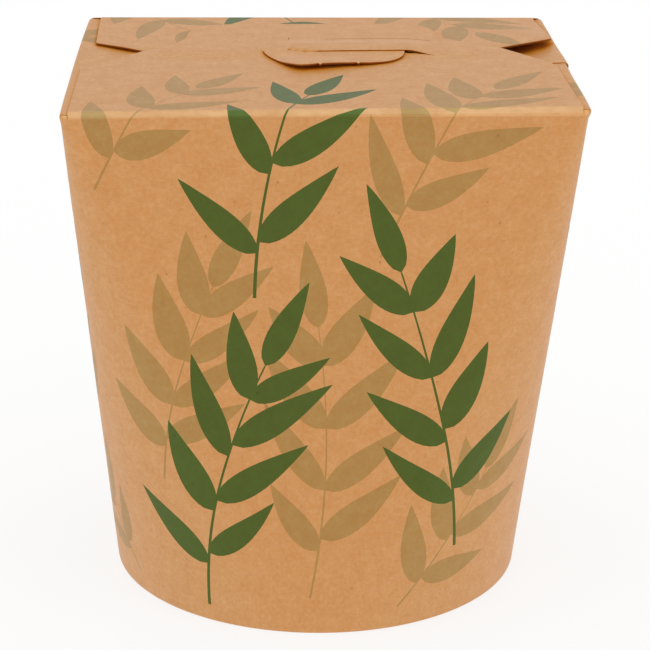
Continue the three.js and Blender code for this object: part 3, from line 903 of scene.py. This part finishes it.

# Painted shade, by how much of the sky the box's own parts hide: light that gets in under a flap has
# been thrown from kraft to kraft, so the colour is painted orange there, and near an edge the board
# doesn't mirror the sky, so its colour is painted without its pale cast.
crevice_reach = 0.0045
tooth_depth = 0.00006
painted_crevice_shade = bpy.data.node_groups.new("painted_crevice_shade", "ShaderNodeTree")
painted_crevice_shade.interface.new_socket("Reach", in_out="INPUT", socket_type="NodeSocketFloat")
for name in ("Depth", "Near"):
    painted_crevice_shade.interface.new_socket(name, in_out="OUTPUT", socket_type="NodeSocketFloat")
crevice_in = painted_crevice_shade.nodes.new("NodeGroupInput").outputs["Reach"]
crevice_out = painted_crevice_shade.nodes.new("NodeGroupOutput")
open_sky = new_node(painted_crevice_shade, "ShaderNodeAmbientOcclusion", {"Distance": crevice_in}, samples=8,
                    only_local=True)
painted_crevice_shade.links.new(ranged(painted_crevice_shade, open_sky.outputs["AO"], 1.0, 0.5), crevice_out.inputs["Depth"])
painted_crevice_shade.links.new(ranged(painted_crevice_shade, open_sky.outputs["AO"], 1.0, 0.9), crevice_out.inputs["Near"])


def tinted(colour, by):
    """A colour brought to another by a factor for red, green and blue."""
    return tuple(min(1, part * factor) for part, factor in zip(colour, by)) + (1,)


def wear_and_painted_light_at_creases(tree, where, colour, kraft):
    """The colour with a pale band at the creases, partly worn and partly a painted highlight, and a line
    of painted shade.
    """
    band_marks = new_node(tree, "ShaderNodeGroup", node_tree=rub_and_painted_highlight)
    band = new_node(tree, "ShaderNodeAttribute", attribute_name="crease").outputs["Fac"]
    tree.links.new(band, band_marks.inputs["Crease"])
    tree.links.new(where, band_marks.inputs["Place"])
    # The pale band is wear with a painted highlight; the darker line is painted shade.
    for mark, share, by in (("Pale", 0.9, (1.3, 1.58, 2.0)), ("Crease shade", 0.6, (0.98, 0.9, 0.8))):
        amount = arithmetic(tree, "MULTIPLY", band_marks.outputs[mark], share)
        colour = blended(tree, "MIX", amount, colour, tinted(kraft, by))
    return colour


def kraft_finish(name, kraft, ink=None, creased=True, inside=None):
    """Kraft board of one colour, with an ink's tint over it if there is one.

    A cut edge goes over to the inside's colour across the thickness of the board; that darker colour is
    painted shade."""
    finish = bpy.data.materials.new(name)
    finish.use_nodes = True
    tree = finish.node_tree
    shader = tree.nodes["Principled BSDF"]
    where = new_node(tree, "ShaderNodeAttribute", attribute_name="blank").outputs["Vector"]
    fibre = new_node(tree, "ShaderNodeGroup", node_tree=pulp)
    tree.links.new(where, fibre.inputs["Place"])
    # Pale and deep clouds first, then orange clouds, light fibres and dark specks over them.
    colour = blended(tree, "MIX", ranged(tree, fibre.outputs["Clouds"], 0.33, 0.67),
                     tinted(kraft, (0.915, 0.83, 0.70)), tinted(kraft, (1.09, 1.17, 1.32)))
    for share, by in (
        (ranged(tree, fibre.outputs["Warmth"], 0.5, 0.72, 0.0, 0.8), (1.0, 0.93, 0.76)),
        (arithmetic(tree, "MULTIPLY", fibre.outputs["Fibres"], 0.5), (1.1, 1.2, 1.35)),
        (arithmetic(tree, "MULTIPLY", fibre.outputs["Specks"], 0.55), (0.6, 0.5, 0.42)),
    ):
        colour = blended(tree, "MIX", share, colour, tinted(kraft, by))
    # Painted shade: the cut edge darkens across its thickness towards the plain face.
    if inside:
        depth = new_node(tree, "ShaderNodeSeparateXYZ", {"Vector": where}).outputs["Z"]
        across_edge = ranged(tree, depth, 0.1 * board * MM, 0.55 * board * MM)
        colour = blended(tree, "MIX", across_edge, colour, inside + (1,))
    if creased:
        colour = wear_and_painted_light_at_creases(tree, where, colour, kraft)
    if ink:
        film = ranged(tree, fibre.outputs["Tooth"], 0.3, 0.62, ink["cover"], 1.0)
        colour = blended(tree, "MULTIPLY", film, colour, ink["tint"])
    # Painted sheen: the colour is made a little paler and cooler where the board turns away from the view.
    turned = new_node(tree, "ShaderNodeLayerWeight", {"Blend": 0.5}).outputs["Facing"]
    painted_sheen = arithmetic(tree, "MULTIPLY", ranged(tree, turned, 0.08, 0.24), ranged(tree, turned, 0.8, 0.65))
    painted_sheen_colour = blended(tree, "MULTIPLY", 1.0, colour, (1.01, 1.07, 1.16, 1))
    colour = blended(tree, "MIX", painted_sheen, colour, painted_sheen_colour)
    # Painted shade: the colour is made yellower near an edge and dark orange deep under a flap, by how
    # much sky is hidden, and the board is made rougher where that is deep.
    shade = new_node(tree, "ShaderNodeGroup", node_tree=painted_crevice_shade)
    shade.inputs["Reach"].default_value = crevice_reach
    deep = shade.outputs["Depth"]
    colour = blended(tree, "MULTIPLY", shade.outputs["Near"], colour, (1.0, 0.96, 0.6, 1))
    colour = blended(tree, "MULTIPLY", deep, colour, (1.1, 0.82, 0.05, 1))
    tree.links.new(colour, shader.inputs["Base Color"])
    roughness = ranged(tree, fibre.outputs["Clouds"], 0.3, 0.7, 0.46, 0.36)
    roughness = arithmetic(tree, "MAXIMUM", roughness, ranged(tree, deep, 0.2, 0.7))
    tree.links.new(roughness, shader.inputs["Roughness"])
    shader.inputs["Specular IOR Level"].default_value = 0.2
    bump = new_node(tree, "ShaderNodeBump", {"Height": fibre.outputs["Tooth"], "Strength": 0.35,
                                             "Distance": tooth_depth})
    tree.links.new(bump.outputs["Normal"], shader.inputs["Normal"])
    return finish


kraft_colour = (0.6, 0.28, 0.097)
green_ink = {"tint": (0.097, 0.34, 0.08, 1), "cover": 0.96}
olive_ink = {"tint": (0.64, 0.75, 0.58, 1), "cover": 0.8}
# The cut edge is a darker brown than the face, partly the pulp's own colour and partly painted shade; the
# colour it darkens to towards the plain face is painted shade.
edge_colour = (0.46, 0.19, 0.06)
edge_shade_colour = (0.2, 0.066, 0.016)
# In the order of the slots that the print and the mesh count by.
for finish in (
    kraft_finish("printed kraft", kraft_colour),
    kraft_finish("green ink on kraft", kraft_colour, green_ink),
    kraft_finish("olive ink on kraft", kraft_colour, olive_ink),
    kraft_finish("cut edge of kraft with painted shade", edge_colour, creased=False, inside=edge_shade_colour),
    kraft_finish("plain kraft", (0.5, 0.2, 0.05), creased=False),
    kraft_finish("torn kraft", (0.62, 0.36, 0.17), creased=False),
):
    carton_mesh.materials.append(finish)
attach(carton_board, "root")
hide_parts("carton")

# ---- The base board ----
# A round of the same board, pressed to a shallow dish. Its turned-down flange is glued between
# the wall and the turned-up hem, so the box stands on its skirt and not on this board.
base_low = 5.95
base_thickness = 0.45
base_colour = (0.56, 0.265, 0.11)
flange_out = base_radius - board - 0.02
flange_bend = 0.9
bend_steps = 8


def base_profile():
    """Radius and height along the underside and the angle that it has turned down by, from the
    centre outwards."""
    rows = [(r, base_low, 0.0) for r in (0.0, 6, 12, 18, 24, 30, 36, flange_out - flange_bend)]
    under_bend = flange_bend - base_thickness
    for i in range(1, bend_steps + 1):
        turn = i / bend_steps * math.pi / 2
        rows.append((flange_out - flange_bend + under_bend * math.sin(turn),
                     base_low - under_bend * (1 - math.cos(turn)), turn))
    return rows + [(rows[-1][0], rows[-1][1] - drop, math.pi / 2) for drop in (1.2, 2.4)]


# The profile goes out along the underside and back over the top, and is turned round the axis.
spokes = 128
under = base_profile()
rings = [(r, z) for r, z, turn in under] \
    + [(r + base_thickness * math.sin(turn), z + base_thickness * math.cos(turn))
       for r, z, turn in under[::-1]]
base_points = []
ring_start = []
for r, z in rings:
    ring_start.append(len(base_points))
    around_ring = [2 * math.pi * i / spokes for i in range(spokes)] if r else [0.0]
    base_points += [(r * math.cos(angle), r * math.sin(angle), z) for angle in around_ring]
base_faces = []
for i in range(spokes):
    j = (i + 1) % spokes
    base_faces.append((0, ring_start[1] + j, ring_start[1] + i))
    base_faces.append((ring_start[-1], ring_start[-2] + i, ring_start[-2] + j))
    for ring in range(1, len(rings) - 2):
        a, b = ring_start[ring], ring_start[ring + 1]
        base_faces.append((a + i, a + j, b + j, b + i))
base_mesh = bpy.data.meshes.new("base_board")
base_mesh.from_pydata([tuple(q * MM for q in p) for p in base_points], [], base_faces)
base_mesh.polygons.foreach_set("use_smooth", [True] * len(base_faces))
base_place = base_mesh.attributes.new("blank", "FLOAT_VECTOR", "POINT")
base_place.data.foreach_set("vector", [q * MM for p in base_points for q in p])
base_mesh.validate()
base_mesh.materials.append(kraft_finish("base kraft", base_colour, creased=False))
base_piece = bpy.data.objects.new("base_board", base_mesh)
scene.collection.objects.link(base_piece)
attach(base_piece, "root")
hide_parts("base_disc")
